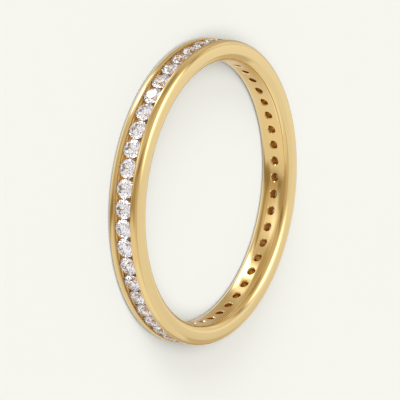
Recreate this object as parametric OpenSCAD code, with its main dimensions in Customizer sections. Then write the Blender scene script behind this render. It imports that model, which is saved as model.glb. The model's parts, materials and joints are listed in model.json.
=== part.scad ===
// Channel set band: a polished gold ring with one row of round brilliants held between two rails.
// It lies on its side. Z is the finger axis, z = 0 is the side face that it rests on, sizes in mm.

/* [Band] */
// Diameter of the finger hole
finger_d = 17.3; // [14:0.1:22]
// Width of the flat that touches the finger
finger_flat_w = 1.0; // [0.8:0.05:1.2]
// Angle at which the inner sides leave the finger flat, in degrees
inner_angle = 9; // [4:1:15]
// Radius that rounds each inner side into the side face
inner_round_r = 0.5; // [0.3:0.02:0.6]
// Metal between the finger and the channel floor
base_t = 0.885; // [0.75:0.005:1.2]

/* [Rails] */
// Width of each rail, from the channel to the side face
rail_w = 0.55; // [0.5:0.01:0.9]
// Radius of each rail's outer corner
rail_corner_r = 0.43; // [0.1:0.01:0.48]
// Bevel on each rail's edge along the channel
lip_bevel = 0.05; // [0.02:0.01:0.08]
// How far each rail reaches over the girdles
lip_overlap = 0.035; // [0.02:0.005:0.06]

/* [Stones] */
// Girdle diameter of each brilliant
stone_d = 1.25; // [1:0.01:1.6]
// Smallest gap between one girdle and the next
stone_gap = 0.025; // [0.015:0.005:0.1]
// Depth of the tables below the rail tops
table_drop = 0.03; // [0:0.005:0.1]
// Turn of each stone against the one before, in degrees
stone_turn = 13; // [0:1:44]

/* [Brilliant cut] */
// Width of the table, in percent of the girdle diameter
table_pct = 57; // [50:1:65]
// Height of the crown, in percent of the girdle diameter
crown_pct = 15; // [12:0.5:17]
// Height of the girdle, in percent of its diameter
girdle_pct = 3; // [2:0.5:6]
// Depth of the pavilion, in percent of the girdle diameter
pavilion_pct = 43; // [40:0.5:46]
// Reach of the star facets, in percent of the way from the table to the girdle
star_pct = 50; // [35:1:65]
// Reach of the lower halves, in percent of the way from the girdle to the tip
lower_half_pct = 77; // [60:1:88]

/* [Seats and light holes] */
// Diameter of the seat's mouth in the channel floor
seat_d = 0.81; // [0.64:0.01:0.95]
// Diameter of the light hole under each stone
light_hole_d = 0.52; // [0.4:0.02:0.78]
// Bevel of the light hole at the finger
rim_bevel = 0.06; // [0.02:0.01:0.1]

/* [Clearances] */
// Clearance round the girdle in its groove
groove_gap = 0.02; // [0.01:0.005:0.04]
// Clearance between the pavilion and its seat, across the stone
seat_gap = 0.05; // [0.03:0.01:0.08]

/* [Hidden] */
$fn = 180;
overrun = 0.05;

// Heights of one stone, from its girdle's middle
stone_r = stone_d / 2;
crown_h = stone_d * crown_pct / 100;
girdle_h = stone_d * girdle_pct / 100;
pavilion_h = stone_d * pavilion_pct / 100;
table_z = girdle_h / 2 + crown_h;
tip_z = -girdle_h / 2 - pavilion_h;

// Heights of the band, as radii from the finger axis
pavilion_slope = pavilion_h / stone_r;
finger_r = finger_d / 2;
floor_r = finger_r + base_t;
girdle_r = floor_r + (stone_r + seat_gap - seat_d / 2) * pavilion_slope + girdle_h / 2;
outer_r = girdle_r + table_z + table_drop;

// Widths of the band
opening_w = stone_d - 2 * lip_overlap;
band_w = opening_w + 2 * rail_w;
groove_w = stone_d + 2 * groove_gap;

// The row: an even number of stones, so that two interleaved sets fill it
gap_angle = asin(stone_gap / 2 / norm([girdle_r - girdle_h / 2, stone_r]));
least_pitch = 2 * (atan(stone_r / (girdle_r - girdle_h / 2)) + gap_angle);
stones = 2 * floor(360 / least_pitch / 2);
pitch = 360 / stones;
// The X axis passes between two stones, through solid metal
first_stone = pitch / 2;

// Facets of the cut: mains on the crown and the pavilion, and the sides of the girdle
mains = 8;
main_step = 360 / mains;
sides_per_main = 4;
girdle_sides = sides_per_main * mains;
girdle_step = 360 / girdle_sides;

function ring_point(r, angle, z) = [r * cos(angle), r * sin(angle), z];

// Height at radius r on the straight line through (r1, z1) and (r2, z2)
function on_line(r, r1, z1, r2, z2) = z1 + (z2 - z1) * (r - r1) / (r2 - r1);

// Profile of the inner side and its rounding, to be cut away at the side face z = 0
module inner_side_cut() {
    reach = (band_w - finger_flat_w) / 2;
    round_x = finger_r
        + (inner_round_r + (reach - inner_round_r) * sin(inner_angle)) / cos(inner_angle);
    difference() {
        polygon([
            [finger_r - overrun, -overrun],
            [round_x, -overrun],
            [round_x, inner_round_r],
            [round_x - inner_round_r * cos(inner_angle), inner_round_r * (1 - sin(inner_angle))],
            [finger_r, reach],
            [finger_r - overrun, reach]
        ]);
        translate([round_x, inner_round_r])
            circle(inner_round_r);
    }
}

// Profile of the rail's outer corner, to be cut away at the side face z = 0
module outer_corner_cut() {
    corner_x = outer_r - rail_corner_r;
    difference() {
        translate([corner_x, -overrun])
            square([rail_corner_r + overrun, rail_corner_r + overrun]);
        translate([corner_x, rail_corner_r])
            circle(rail_corner_r);
    }
}

// Profile of half the channel, with the girdle groove and the lip's bevel, y from its middle
module half_channel() {
    half_w = opening_w / 2;
    half_groove = groove_w / 2;
    groove_slope = half_groove - half_w;
    groove_low = girdle_r - girdle_h / 2 - groove_gap;
    groove_high = girdle_r + girdle_h / 2 + groove_gap;
    polygon([
        [floor_r, 0],
        [floor_r, half_w],
        [groove_low - groove_slope, half_w],
        [groove_low, half_groove],
        [groove_high, half_groove],
        [groove_high + groove_slope, half_w],
        [outer_r - lip_bevel, half_w],
        [outer_r, half_w + lip_bevel],
        [outer_r + overrun, half_w + lip_bevel],
        [outer_r + overrun, 0]
    ]);
}

// Section of half the band, y from the side face to the band's middle
module half_section() {
    difference() {
        translate([finger_r, 0])
            square([outer_r - finger_r, band_w / 2]);
        inner_side_cut();
        outer_corner_cut();
        translate([0, band_w / 2])
            mirror([0, 1])
                half_channel();
    }
}

// Seat, light hole and its bevel under one stone, along the stone's own axis
module seat_and_hole() {
    hole_r = light_hole_d / 2;
    seat_low = floor_r - (seat_d / 2 - hole_r) * pavilion_slope;
    rotate_extrude()
        polygon([
            [0, finger_r - overrun],
            [hole_r + rim_bevel + overrun, finger_r - overrun],
            [hole_r, finger_r + rim_bevel],
            [hole_r, seat_low],
            [seat_d / 2 + overrun / pavilion_slope, floor_r + overrun],
            [0, floor_r + overrun]
        ]);
}

// Places its children at stone k of the row, their z pointing away from the finger
module at_stone(k) {
    translate([0, 0, band_w / 2])
        rotate([0, 90, first_stone + k * pitch])
            children();
}

// One round brilliant, its table up and its girdle's middle at z = 0
module brilliant() {
    half_step = main_step / 2;
    table_r = stone_r * table_pct / 100;
    table_flat_r = table_r * cos(half_step);
    star_r = table_flat_r + (stone_r - table_flat_r) * star_pct / 100;
    star_z = on_line(star_r * cos(half_step), table_r, table_z, stone_r, girdle_h / 2);
    lower_r = stone_r * (1 - lower_half_pct / 100);
    lower_z = on_line(lower_r * cos(half_step), 0, tip_z, stone_r, -girdle_h / 2);

    // Between their corners, the flat half facets cut further into the round girdle
    mid_r = stone_r / cos(girdle_step);
    top_mid_z = on_line(mid_r, star_r, star_z, stone_r, girdle_h / 2);
    bottom_mid_z = on_line(mid_r, lower_r, lower_z, stone_r, -girdle_h / 2);

    // Where each ring of points starts in the list
    star = mains;
    top = star + mains;
    bottom = top + girdle_sides;
    lower = bottom + girdle_sides;
    tip = lower + mains;

    points = [
        for (i = [0 : mains - 1]) ring_point(table_r, i * main_step, table_z),
        for (i = [0 : mains - 1]) ring_point(star_r, (i + 0.5) * main_step, star_z),
        for (j = [0 : girdle_sides - 1])
            ring_point(stone_r, j * girdle_step, j % 2 == 0 ? girdle_h / 2 : top_mid_z),
        for (j = [0 : girdle_sides - 1])
            ring_point(stone_r, j * girdle_step, j % 2 == 0 ? -girdle_h / 2 : bottom_mid_z),
        for (i = [0 : mains - 1]) ring_point(lower_r, (i + 0.5) * main_step, lower_z),
        [0, 0, tip_z]
    ];

    faces = [
        // Table
        [for (i = [mains - 1 : -1 : 0]) i],
        for (i = [0 : mains - 1])
            let (next = (i + 1) % mains, last = (i + mains - 1) % mains,
                 j = sides_per_main * i, j_next = (j + sides_per_main) % girdle_sides)
            each [
                // Star and kite on the crown
                [i, next, star + i],
                [i, star + i, top + j, star + last],
                // Upper halves
                [star + i, top + j + 2, top + j + 1, top + j],
                [star + i, top + j_next, top + j + 3, top + j + 2],
                // Lower halves
                [lower + i, bottom + j, bottom + j + 1, bottom + j + 2],
                [lower + i, bottom + j + 2, bottom + j + 3, bottom + j_next],
                // Main facet of the pavilion
                [tip, lower + last, bottom + j, lower + i]
            ],
        // Girdle
        for (j = [0 : girdle_sides - 1])
            let (next = (j + 1) % girdle_sides)
            [top + j, top + next, bottom + next, bottom + j]
    ];
    polyhedron(points, faces, convexity = 2);
}

// Every second stone of the row, from stone number first
module every_second_stone(first) {
    for (k = [first : 2 : stones - 1])
        at_stone(k)
            translate([0, 0, girdle_r])
                rotate(k * stone_turn)
                    brilliant();
}

module band() {
    color("gold")
        difference() {
            rotate_extrude()
                union() {
                    half_section();
                    translate([0, band_w])
                        mirror([0, 1])
                            half_section();
                }
            for (k = [0 : stones - 1])
                at_stone(k)
                    seat_and_hole();
        }
}

module stones_even() {
    color("aliceblue")
        every_second_stone(0);
}

module stones_odd() {
    color("lavender")
        every_second_stone(1);
}

band();
stones_even();
stones_odd();
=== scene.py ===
# %% [markdown]
# # A channel set band
# A slim polished gold ring with a full row of small round brilliants between two rails. It lies
# on its side on a pale floor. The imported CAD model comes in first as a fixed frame, in metres,
# with the finger axis along Z. What is made here is fitted to it.

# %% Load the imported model
import json
import math
from collections import namedtuple

import bmesh
import bpy
from mathutils import Matrix, Vector


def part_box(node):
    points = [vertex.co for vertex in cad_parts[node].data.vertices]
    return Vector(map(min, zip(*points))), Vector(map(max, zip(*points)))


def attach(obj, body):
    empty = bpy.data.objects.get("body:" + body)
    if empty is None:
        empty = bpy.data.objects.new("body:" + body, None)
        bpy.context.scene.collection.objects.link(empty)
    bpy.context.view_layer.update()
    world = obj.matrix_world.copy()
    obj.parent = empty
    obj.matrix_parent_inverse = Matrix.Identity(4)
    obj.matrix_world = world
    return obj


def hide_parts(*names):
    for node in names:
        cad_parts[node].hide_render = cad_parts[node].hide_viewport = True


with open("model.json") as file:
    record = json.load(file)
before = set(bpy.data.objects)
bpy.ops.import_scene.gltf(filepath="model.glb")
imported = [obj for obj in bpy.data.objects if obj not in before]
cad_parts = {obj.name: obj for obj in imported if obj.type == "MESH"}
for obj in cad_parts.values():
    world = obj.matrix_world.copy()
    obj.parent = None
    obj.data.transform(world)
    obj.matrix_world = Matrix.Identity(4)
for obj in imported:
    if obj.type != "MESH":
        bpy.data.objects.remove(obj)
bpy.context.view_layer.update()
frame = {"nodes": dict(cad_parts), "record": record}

# %% [markdown]
# ## The sizes
# A piece made here has to lie exactly where its CAD solid is, so its sizes are the same ones.
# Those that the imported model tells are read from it, and the others are the CAD model's own
# values. Work in millimetres is easier to read, and some of Blender's tools lose their grip on
# points that are only a few micrometres apart in metres. So the pieces are made in millimetres
# and scaled at the end.

# %% Sizes of the band, in millimetres
MM = 0.001
_, high_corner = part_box("band")
finger_r = frame["record"]["mounts"][0]["dims"]["r_mm"]
outer_r = high_corner.x / MM
band_w = high_corner.z / MM
middle_z = band_w / 2

finger_flat_w = 1.0
inner_angle = math.radians(9)
inner_round_r = 0.5
crease_round_r = 2.6
base_t = 0.885
rail_w = 0.55
rail_corner_r = 0.43
lip_bevel = 0.05
print(f"finger hole {2 * finger_r:.2f}, outside {2 * outer_r:.3f}, width {band_w:.2f} mm")

# %% Sizes of the stones, their groove, seats and light holes
stones = 48
stone_r = 0.625
girdle_h = 0.0375
pavilion_slope = 0.86
seat_r = 0.405
light_hole_r = 0.26
rim_bevel = 0.06
groove_gap = 0.02
seat_gap = 0.05
overrun = 0.05

pitch = 2 * math.pi / stones
floor_r = finger_r + base_t
girdle_r = floor_r + (stone_r + seat_gap - seat_r) * pavilion_slope + girdle_h / 2
opening_half = band_w / 2 - rail_w
groove_half = stone_r + groove_gap
print(f"channel floor at radius {floor_r:.3f}, girdles at radius {girdle_r:.3f} mm")

# %% [markdown]
# ## Half of the section
# A ring like this is turned or rolled from one section. Half of that section is drawn as a wire
# of a few points: from the middle of the finger flat, round the side, over the rail and down into
# the channel. Bevelling three of its points rounds the sides, as a file and a polishing wheel do:
# the slight crease beside the finger flat gets a wide, soft arc, and the two corners tighter
# ones. For an arc of a wanted radius, the bevel starts at the radius times the tangent of half
# the turn.

# %% Draw half of the section
def add_wire(mesh, points):
    """Joins points by edges, in order."""
    made = [mesh.verts.new(p) for p in points]
    for a, b in zip(made, made[1:]):
        mesh.edges.new((a, b))
    return made


def round_corner(mesh, corner, radius, turn, steps):
    """Rounds one corner of a wire to an arc."""
    bmesh.ops.bevel(
        mesh, geom=[corner], offset=radius * math.tan(turn / 2), offset_type="OFFSET",
        segments=steps, profile=0.5, affect="VERTICES", material=-1,
    )


flat_half = finger_flat_w / 2
groove_slope = groove_half - opening_half
groove_low = girdle_r - girdle_h / 2 - groove_gap
groove_high = girdle_r + girdle_h / 2 + groove_gap
inner_corner_r = finger_r + (middle_z - flat_half) * math.tan(inner_angle)

band = bmesh.new()
wire = add_wire(band, [
    (finger_r, 0, 0),
    (finger_r, 0, flat_half),
    (inner_corner_r, 0, middle_z),
    (outer_r, 0, middle_z),
    (outer_r, 0, opening_half + lip_bevel),
    (outer_r - lip_bevel, 0, opening_half),
    (groove_high + groove_slope, 0, opening_half),
    (groove_high, 0, groove_half),
    (groove_low, 0, groove_half),
    (groove_low - groove_slope, 0, opening_half),
    (floor_r, 0, opening_half),
    (floor_r, 0, 0),
])
CREASE_STEPS = 8
CORNER_STEPS = 24
crease, inner_corner, outer_corner = wire[1:4]
round_corner(band, crease, crease_round_r, inner_angle, CREASE_STEPS)
round_corner(band, inner_corner, inner_round_r, math.pi / 2 - inner_angle, CORNER_STEPS)
round_corner(band, outer_corner, rail_corner_r, math.pi / 2, CORNER_STEPS)
print("half section:", len(band.verts), "points")

# %% [markdown]
# ## Turning the section into a ring
# The half is mirrored across the middle of the band, then spun once round the finger axis. A full
# spin has to merge its last step with its first, or a seam stays open. The spin can leave the
# faces pointing inwards, so the normals are worked out again on the closed shell.

# %% Mirror and spin
ROUND_STEPS = 384
SAME_POINT = 1e-5

bmesh.ops.mirror(band, geom=band.verts[:] + band.edges[:], axis="Z", merge_dist=SAME_POINT)
bmesh.ops.spin(
    band, geom=band.verts[:] + band.edges[:], cent=(0, 0, 0), axis=(0, 0, 1),
    angle=2 * math.pi, steps=ROUND_STEPS, use_merge=True,
)
bmesh.ops.remove_doubles(band, verts=band.verts[:], dist=SAME_POINT)
bmesh.ops.translate(band, verts=band.verts[:], vec=(0, 0, middle_z))
bmesh.ops.recalc_face_normals(band, faces=band.faces[:])
open_edges = [e for e in band.edges if len(e.link_faces) != 2]
print("plain ring:", len(band.faces), "faces,", len(open_edges), "open edges, volume",
      round(band.calc_volume(), 2), "mm3")

# %% [markdown]
# ## Seats and light holes
# Under each stone the jeweller drills a hole through the metal, so that light and water pass,
# cuts a cone for the stone to sit in, and breaks the sharp edge at the finger. One drill with
# that shape is spun up from its outline and copied round the ring by a spin that duplicates.

# %% Shape the drill and set 48 of them round the ring
DRILL_STEPS = 64
seat_low = floor_r - (seat_r - light_hole_r) * pavilion_slope

drills = bmesh.new()
add_wire(drills, [
    (finger_r - overrun, 0, 0),
    (finger_r - overrun, 0, light_hole_r + rim_bevel + overrun),
    (finger_r + rim_bevel, 0, light_hole_r),
    (seat_low, 0, light_hole_r),
    (floor_r + overrun, 0, seat_r + overrun / pavilion_slope),
    (floor_r + overrun, 0, 0),
])
bmesh.ops.spin(
    drills, geom=drills.verts[:] + drills.edges[:], cent=(0, 0, 0), axis=(1, 0, 0),
    angle=2 * math.pi, steps=DRILL_STEPS, use_merge=True,
)
bmesh.ops.remove_doubles(drills, verts=drills.verts[:], dist=SAME_POINT)
bmesh.ops.translate(drills, verts=drills.verts[:], vec=(0, 0, middle_z))
bmesh.ops.rotate(
    drills, verts=drills.verts[:], cent=(0, 0, 0), matrix=Matrix.Rotation(pitch / 2, 3, "Z"),
)
bmesh.ops.recalc_face_normals(drills, faces=drills.faces[:])
bmesh.ops.spin(
    drills, geom=drills.verts[:] + drills.edges[:] + drills.faces[:], cent=(0, 0, 0),
    axis=(0, 0, 1), angle=2 * math.pi - pitch, steps=stones - 1, use_duplicate=True,
)
print("drills:", len(drills.faces), "faces, volume", round(drills.calc_volume(), 2), "mm3")

# %% [markdown]
# ## Drilling
# The Boolean modifier takes the drills out of the ring. Its exact solver is slower than the fast
# one, but it leaves a closed mesh. The result is read back as a plain mesh, so nothing stays
# live.

# %% Cut the holes
def as_object(mesh, name):
    """Turns a bmesh into an object and frees the bmesh."""
    data = bpy.data.meshes.new(name)
    mesh.to_mesh(data)
    mesh.free()
    made = bpy.data.objects.new(name, data)
    bpy.context.scene.collection.objects.link(made)
    return made


ring = as_object(band, "gold_band")
drill_set = as_object(drills, "drills")
cut = ring.modifiers.new("drilling", "BOOLEAN")
cut.operation = "DIFFERENCE"
cut.solver = "EXACT"
cut.object = drill_set
view_graph = bpy.context.evaluated_depsgraph_get()
drilled = bpy.data.meshes.new_from_object(ring.evaluated_get(view_graph))
ring.modifiers.clear()
ring.data = drilled
bpy.data.objects.remove(drill_set)
drilled.transform(Matrix.Scale(MM, 4))

shell = bmesh.new()
shell.from_mesh(drilled)
open_edges = [e for e in shell.edges if len(e.link_faces) != 2]
print("drilled ring:", len(shell.faces), "faces,", len(open_edges), "open edges, volume",
      round(shell.calc_volume() / MM ** 3, 2), "mm3")
shell.free()

# %% [markdown]
# ## Smooth and sharp
# A polished surface needs smooth shading, but the lips of the rails and the rims of the holes
# stay crisp. One step of a rounding turns by less than 4 degrees, so edges past 7.5 degrees are
# kept sharp.

# %% Shade it
SHARP_PAST = math.radians(7.5)

drilled.shade_smooth()
drilled.set_sharp_from_angle(angle=SHARP_PAST)
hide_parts("band")
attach(ring, "root")
print("gold band:", len(drilled.polygons), "faces")

# %% [markdown]
# ## Where the polishing wheel can't reach
# The channel is cut, not polished, and no wheel gets into the seats and light holes. They stay
# duller, and the seats and holes are also coloured darker: painted shade for the shade down in
# these recesses. Their faces lie between the rims of the holes and the lips of the rails, so the
# distances from the finger axis and from the middle of the band pick them out.
# A small slack keeps the channel floor itself, whose steps lie a little inside its radius, in the
# channel.

# %% Mark the cut faces
# The third kind, the seats and light holes, gets a darker gold: painted shade in these recesses.
POLISHED, CHANNEL, DRILLED_SHADE_PAINTED = 0, 1, 2
FLOOR_SLACK = 0.01
for face in drilled.polygons:
    radius = math.hypot(face.center.x, face.center.y) / MM
    aside = abs(face.center.z / MM - middle_z)
    if aside > groove_half or radius < finger_r + rim_bevel or radius > outer_r - lip_bevel:
        face.material_index = POLISHED
    else:
        face.material_index = CHANNEL if radius > floor_r - FLOOR_SLACK else DRILLED_SHADE_PAINTED
for kind, name in enumerate(("polished", "channel", "drilled")):
    print(name, "faces:", sum(f.material_index == kind for f in drilled.polygons))

# %% [markdown]
# ## Shader maths in plain expressions
# A finish is a small network of nodes. Written one node at a time it is hard to read, so one
# class stands for a value in the network and lets plus and times add the Math nodes, also with a
# plain number on the left. Every other kind of node comes from one method.

# %% The value and finish classes
class Value:
    """What comes out of one node: a number, colour or direction that varies."""

    def __init__(self, network, socket):
        self.network = network
        self.socket = socket

    def _math(self, operation, a, b):
        return self.network.node("ShaderNodeMath", {"operation": operation}, {0: a, 1: b})

    def __add__(self, other):
        return self._math("ADD", self, other)

    def __mul__(self, other):
        return self._math("MULTIPLY", self, other)

    __radd__ = __add__
    __rmul__ = __mul__


class Network:
    """The nodes of one material or of the world."""

    def __init__(self, owner, shader):
        owner.use_nodes = True
        self.tree = owner.node_tree
        self.shader = self.tree.nodes[shader]

    def node(self, kind, settings, inputs, out=0):
        """Adds a node: its settings first, then the values or links of its sockets."""
        made = self.tree.nodes.new(kind)
        for key, value in settings.items():
            setattr(made, key, value)
        for key, value in inputs.items():
            self.feed(made.inputs[key], value)
        return Value(self, made.outputs[out])

    def feed(self, socket, value):
        """Links a value to a socket, or sets the socket's own number or colour."""
        if isinstance(value, Value):
            self.tree.links.new(value.socket, socket)
        else:
            socket.default_value = value

    def set(self, **sockets):
        """Sets the shader's sockets; an underscore in a name stands for a space."""
        for key, value in sockets.items():
            self.feed(self.shader.inputs[key.replace("_", " ")], value)


class Finish(Network):
    """A material with one Principled shader, and the place on the piece in metres."""

    def __init__(self, name):
        self.material = bpy.data.materials.new(name)
        super().__init__(self.material, "Principled BSDF")
        self.place = self.node("ShaderNodeTexCoord", {}, {}, out="Object")


print("shader helpers ready")

# %% [markdown]
# ## Gold in three finishes
# Fourteen carat yellow gold reflects a warm, pale yellow. Polishing leaves it a mirror with a
# faint softness that changes from place to place, so a slow noise moves the roughness and the
# colour a little. A bump too fine to see by itself breaks up the reflections as real polish does.
# The walls of the channel are rougher, more orange and a little less metallic, as bare cut metal
# between stones looks. The seats and light holes are darker still: a darker gold painted on them
# as shade in these recesses.

# %% Make the gold
SLOW_SCALE, SLOW_DETAIL = 260.0, 3.0
FINE_SCALE, FINE_DETAIL = 2600.0, 2.0
GRAIN_STRENGTH, GRAIN_DEPTH = 0.04, 0.00002


def gold_finish(name, deep, pale, smoothest, spread, metal=1.0):
    """Gold between two tints, with a roughness that a slow noise raises by up to its spread."""
    gold = Finish(name)
    slow = gold.node("ShaderNodeTexNoise", {}, {
        "Vector": gold.place, "Scale": SLOW_SCALE, "Detail": SLOW_DETAIL,
    })
    fine = gold.node("ShaderNodeTexNoise", {}, {
        "Vector": gold.place, "Scale": FINE_SCALE, "Detail": FINE_DETAIL,
    })
    tint = gold.node("ShaderNodeMix", {"data_type": "RGBA"}, {
        "Factor": slow, "A": deep, "B": pale,
    }, out="Result")
    grain = gold.node("ShaderNodeBump", {}, {
        "Strength": GRAIN_STRENGTH, "Distance": GRAIN_DEPTH, "Height": fine,
    }, out="Normal")
    gold.set(Base_Color=tint, Metallic=metal, Roughness=smoothest + slow * spread, Normal=grain)
    return gold.material


finishes = (
    gold_finish(
        "polished_gold", deep=(0.825, 0.62, 0.285, 1), pale=(0.855, 0.65, 0.315, 1),
        smoothest=0.03, spread=0.05,
    ),
    gold_finish(
        "channel_gold", deep=(0.88, 0.56, 0.18, 1), pale=(0.92, 0.61, 0.23, 1),
        smoothest=0.45, spread=0.10, metal=0.8,
    ),
    # Painted shade: the seats and light holes get a darker, more orange gold than the polished
    # faces.
    gold_finish(
        "drilled_gold", deep=(0.73, 0.40, 0.06, 1), pale=(0.79, 0.46, 0.09, 1),
        smoothest=0.30, spread=0.10,
    ),
)
for finish in finishes:
    ring.data.materials.append(finish)
    print(finish.name, len(finish.node_tree.nodes), "nodes")

# %% [markdown]
# ## Brilliants
# The cut stones come straight from the CAD model, because their flat facets are what makes them
# sparkle. Their finish is clear glass with the high refraction of diamond.

# %% Make the diamond
DIAMOND_IOR = 2.42
CLOUD_SCALE = 900.0

diamond = Finish("diamond")
cloud = diamond.node("ShaderNodeTexNoise", {}, {"Vector": diamond.place, "Scale": CLOUD_SCALE})
tint = diamond.node(
    "ShaderNodeMix", {"data_type": "RGBA"},
    {"Factor": cloud, "A": (0.93, 0.91, 1.0, 1), "B": (1.0, 1.0, 1.0, 1)}, out="Result",
)
diamond.set(Base_Color=tint, IOR=DIAMOND_IOR, Transmission_Weight=1.0, Roughness=0.0)
for name in ("stones_even", "stones_odd"):
    node = frame["nodes"][name]
    node.data.materials.clear()
    node.data.materials.append(diamond.material)
    print(name, len(node.data.polygons), "triangles")

# %% [markdown]
# ## The floor
# The ring lies on a plain, pale, matt floor.

# %% Lay the floor
FLOOR_HALF = 0.6
MOTTLE_SCALE = 40.0

floor_mesh = bmesh.new()
bmesh.ops.create_grid(floor_mesh, x_segments=1, y_segments=1, size=FLOOR_HALF)
floor = as_object(floor_mesh, "floor")
paper = Finish("pale_paper")
mottle = paper.node("ShaderNodeTexNoise", {}, {"Vector": paper.place, "Scale": MOTTLE_SCALE})
tint = paper.node(
    "ShaderNodeMix", {"data_type": "RGBA"},
    {"Factor": mottle, "A": (0.845, 0.838, 0.777, 1), "B": (0.855, 0.848, 0.787, 1)}, out="Result",
)
paper.set(Base_Color=tint, Roughness=0.9, Specular_IOR_Level=0.1)
floor.data.materials.append(paper.material)
print(f"floor {2 * FLOOR_HALF:.1f} m square")

# %% [markdown]
# ## The light
# Jewellery is lit by large soft boxes and by white card, because polished gold shows whatever is
# round it. So the room is the light here: a world in one even colour, with soft oval cards laid
# over it, each with its own place, size and brightness. They stand where the ring's reflections
# need them.
#
# Three kinds of ray see three rooms. The gold reflects the room of cards. Through the stones one
# sees a whiter room with a few dark and bright cards, because the contrast between them makes a
# stone sparkle. The floor gets one even, warm light and two soft suns that are slightly blue, so
# the open floor looks neutral and the shade on it warm.
#
# The floor is hidden from reflections and from the stones, as a sweep of paper below a lit jewel
# hardly shows in it. The ring is hidden from the floor's bounce rays: without the light that gold
# throws back, called caustics, it would draw a dark line at its foot. Caustics are off because
# they are noisy. Cycles doesn't aim rays at the room's bright parts, as the soft cards are found
# without.

# %% Set the lights
Card = namedtuple(
    "Card", "azimuth elevation roll half_across half_along softness strength warmth",
)
GREEN_LOSS = 0.25
BLUE_LOSS = 0.6


def warm(strength, warmth):
    """A light's colour: neutral at warmth 0, brown at 1."""
    green = strength * (1 - GREEN_LOSS * warmth)
    blue = strength * (1 - BLUE_LOSS * warmth)
    return (strength, green, blue, 1)


def facing(azimuth, elevation, roll):
    """A turn whose Z points to a direction and whose X is level at roll 0, angles in degrees."""
    a, e, r = (math.radians(v) for v in (azimuth, elevation, roll))
    out = Vector((math.cos(e) * math.cos(a), math.cos(e) * math.sin(a), math.sin(e)))
    level = Vector((-math.sin(a), math.cos(a), 0))
    rise = out.cross(level)
    across = level * math.cos(r) + rise * math.sin(r)
    along = rise * math.cos(r) - level * math.sin(r)
    return Matrix((across, along, out)).transposed()


def room(studio, direction, base, cards):
    """A room in one even colour, with soft oval cards laid over it one after another."""
    light = warm(*base)
    for card in map(Card._make, cards):
        turn = facing(card.azimuth, card.elevation, card.roll)
        across, along = (math.sin(math.radians(v)) for v in (card.half_across, card.half_along))
        aside = studio.node("ShaderNodeMapping", {"vector_type": "TEXTURE"}, {
            "Vector": direction, "Location": turn.col[2], "Rotation": turn.to_euler(),
            "Scale": (across, along, 1),
        })
        reach = studio.node("ShaderNodeVectorMath", {"operation": "LENGTH"}, {
            0: aside,
        }, out="Value")
        inside = studio.node("ShaderNodeMapRange", {"interpolation_type": "SMOOTHSTEP"}, {
            "Value": reach, "From Min": 1 - card.softness, "From Max": 1 + card.softness,
            "To Min": 1.0, "To Max": 0.0,
        })
        light = studio.node("ShaderNodeMix", {"data_type": "RGBA"}, {
            "Factor": inside, "A": light, "B": warm(card.strength, card.warmth),
        }, out="Result")
    return light


GOLD_BASE = (0.905, 0.00)
STONE_BASE = (0.98, -0.05)
FLOOR_LIGHT = (0.22, 0.80)
GOLD_ROOM = [
    (19.4, -0.1, -28.3, 88.0, 29.9, 0.71, 0.58, 0.72),
    (-44.1, 12.4, 49.6, 13.3, 17.8, 0.08, 1.01, 0.01),
    (90.9, 27.9, 49.2, 29.7, 87.4, 0.97, 0.61, 0.70),
    (105.4, 55.7, -84.7, 4.0, 54.1, 0.70, 0.60, 0.61),
    (-62.0, -34.1, 2.8, 38.8, 27.4, 0.30, 0.50, 0.72),
    (65.5, -52.5, 7.2, 40.8, 16.5, 0.11, 0.47, 1.00),
    (61.6, -67.4, -15.6, 36.2, 20.0, 0.22, 0.69, 0.00),
    (6.8, -37.7, 18.0, 10.8, 10.9, 0.85, 4.49, 0.00),
    (-59.7, -63.7, -70.0, 32.4, 13.0, 0.48, 1.13, 0.00),
    (-73.7, 58.1, -21.7, 7.5, 34.1, 0.97, 1.12, 0.00),
    (61.5, -24.6, 64.8, 8.7, 16.4, 0.97, 1.39, 0.00),
    (-124.6, -12.0, -71.2, 19.7, 37.9, 0.65, 0.58, 0.90),
    (106.4, -45.2, -69.6, 72.8, 7.0, 0.73, 0.35, 1.00),
    (70.4, 18.4, 28.7, 6.7, 19.0, 0.88, 0.32, 0.95),
    (-98.0, 7.0, 39.2, 27.2, 9.5, 0.08, 0.94, 0.00),
    (7.7, 7.3, 14.9, 11.1, 17.5, 0.23, 0.40, 0.63),
    (95.0, 3.9, -33.3, 16.6, 27.8, 0.12, 0.47, 0.72),
    (-34.6, 15.4, -45.1, 12.0, 37.9, 0.44, 0.67, 0.45),
    (-42.3, 43.4, -50.0, 12.6, 6.1, 0.97, 0.08, 1.00),
    (144.2, -3.6, 9.0, 33.8, 40.0, 0.33, 0.93, 0.26),
    (-16.2, 63.7, -48.0, 13.9, 17.9, 0.95, 3.06, 0.00),
    (-118.2, 20.6, -55.8, 9.3, 17.3, 0.31, 0.65, 0.33),
    (-85.8, 14.4, -10.2, 4.5, 7.1, 0.16, 0.90, 0.00),
    (-9.6, 3.8, 20.5, 3.4, 2.3, 0.29, 0.71, 0.50),
    (73.8, 27.6, 21.3, 4.0, 16.5, 0.51, 0.34, 0.85),
    (14.0, -36.6, -27.0, 19.3, 5.3, 0.48, 1.32, 0.00),
    (-66.7, -30.6, -19.4, 63.6, 4.4, 0.91, 0.54, 0.32),
    (16.2, -38.9, 25.2, 6.3, 10.3, 0.30, 4.50, 0.00),
    (79.5, -33.2, 4.2, 20.6, 3.1, 0.85, 0.66, 0.73),
    (19.3, -22.1, 3.5, 37.0, 5.0, 0.97, 0.53, 0.82),
    (-59.9, 51.5, -3.1, 9.6, 2.4, 0.35, 1.01, 0.00),
    (165.5, 7.0, -46.2, 25.5, 28.1, 0.11, 1.00, 0.00),
]
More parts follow.
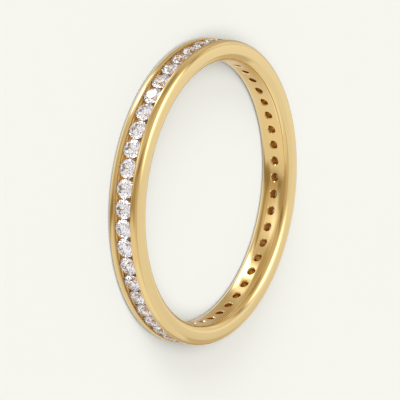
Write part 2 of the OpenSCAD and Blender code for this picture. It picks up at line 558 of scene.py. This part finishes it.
STONE_ROOM = [
    (83.0, 31.6, 20.0, 12.0, 12.0, 0.1, 0.12, 0.0),
    (40.0, 10.0, 0.0, 6.0, 30.0, 0.1, 0.2, 0.0),
    (130.0, 10.0, 0.0, 6.0, 30.0, 0.1, 0.2, 0.0),
    (-20.0, 20.0, 0.0, 8.0, 25.0, 0.1, 0.2, 0.0),
    (170.0, 20.0, 0.0, 8.0, 25.0, 0.1, 0.2, 0.0),
    (60.0, 60.0, 0.0, 9.0, 9.0, 0.1, 5.0, 0.0),
    (110.0, 50.0, 0.0, 7.0, 7.0, 0.1, 5.0, 0.0),
    (20.0, 40.0, 0.0, 7.0, 7.0, 0.1, 5.0, 0.0),
    (80.0, -35.0, 0.0, 30.0, 7.0, 0.1, 0.25, 0.0),
    (-85.0, 44.0, 0.0, 55.0, 34.0, 0.2, 0.32, 1.0),
]
world = bpy.data.worlds.new("studio")
bpy.context.scene.world = world
world.cycles.sampling_method = "NONE"
bpy.context.scene.cycles.caustics_reflective = False
bpy.context.scene.cycles.caustics_refractive = False
studio = Network(world, "Background")
direction = studio.node("ShaderNodeTexCoord", {}, {}, out="Generated")
through_stone = studio.node("ShaderNodeLightPath", {}, {}, out="Is Transmission Ray")
from_floor = studio.node("ShaderNodeLightPath", {}, {}, out="Is Diffuse Ray")
for_gold = room(studio, direction, GOLD_BASE, GOLD_ROOM)
for_stones = room(studio, direction, STONE_BASE, STONE_ROOM)
for_metal_and_floor = studio.node("ShaderNodeMix", {"data_type": "RGBA"}, {
    "Factor": from_floor, "A": for_gold, "B": warm(*FLOOR_LIGHT),
}, out="Result")
studio.set(Color=studio.node("ShaderNodeMix", {"data_type": "RGBA"}, {
    "Factor": through_stone, "A": for_metal_and_floor, "B": for_stones,
}, out="Result"))
floor.visible_glossy = False
floor.visible_transmission = False
ring.visible_diffuse = False


def soft_sun(name, azimuth, elevation, spread, strength, colour):
    """A far soft light for the floor alone: the gold and the stones have their own room."""
    lamp = bpy.data.lights.new(name, "SUN")
    lamp.angle = math.radians(spread)
    lamp.energy = strength
    lamp.color = colour
    made = bpy.data.objects.new(name, lamp)
    made.matrix_world = facing(azimuth, elevation, 0).to_4x4()
    made.visible_glossy = False
    made.visible_transmission = False
    bpy.context.scene.collection.objects.link(made)


soft_sun(
    "fill_light", azimuth=83, elevation=50, spread=50, strength=3.115,
    colour=(0.985, 1.031, 1.094),
)
soft_sun(
    "shadow_light", azimuth=45, elevation=22, spread=24, strength=1.15,
    colour=(0.95, 1.03, 1.12),
)
print("lights set")

# %% [markdown]
# ## The camera
# The camera stands at the photograph's angle to the ring, above the floor. It is rolled, because
# the ring in the picture seems to stand while here it lies on its side. A long lens from 20 cm
# away keeps the ring's perspective as slight as in the photograph.

# %% Place the camera
ring_middle = Vector((0, 0, middle_z * MM))
camera_right = Vector((0.0729, -0.5274, 0.8465))
camera_back = Vector((0.1037, 0.8481, 0.5195)).normalized()
camera_up = camera_back.cross(camera_right).normalized()
camera_right = camera_up.cross(camera_back)
aim_right = 0.423 * MM
aim_up = 0.543 * MM
camera_distance = 200 * MM
lens_length = 275.57
MOST_BOUNCES = 24
MIRROR_BOUNCES = STONE_BOUNCES = 16

lens = bpy.data.cameras.new("camera")
lens.sensor_width = 36
lens.lens = lens_length
lens.clip_start = 0.01
camera = bpy.data.objects.new("camera", lens)
turn = Matrix((camera_right, camera_up, camera_back)).transposed()
aim = ring_middle - camera_right * aim_right - camera_up * aim_up
place = aim + camera_back * camera_distance
camera.matrix_world = Matrix.Translation(place) @ turn.to_4x4()
bpy.context.scene.collection.objects.link(camera)
bpy.context.scene.camera = camera
bpy.context.scene.view_settings.view_transform = "Standard"
bpy.context.scene.cycles.max_bounces = MOST_BOUNCES
bpy.context.scene.cycles.glossy_bounces = MIRROR_BOUNCES
bpy.context.scene.cycles.transmission_bounces = STONE_BOUNCES
print("camera at", [round(v, 4) for v in place], "height above the floor",
      round(math.degrees(math.asin(camera_back.z)), 1), "degrees")
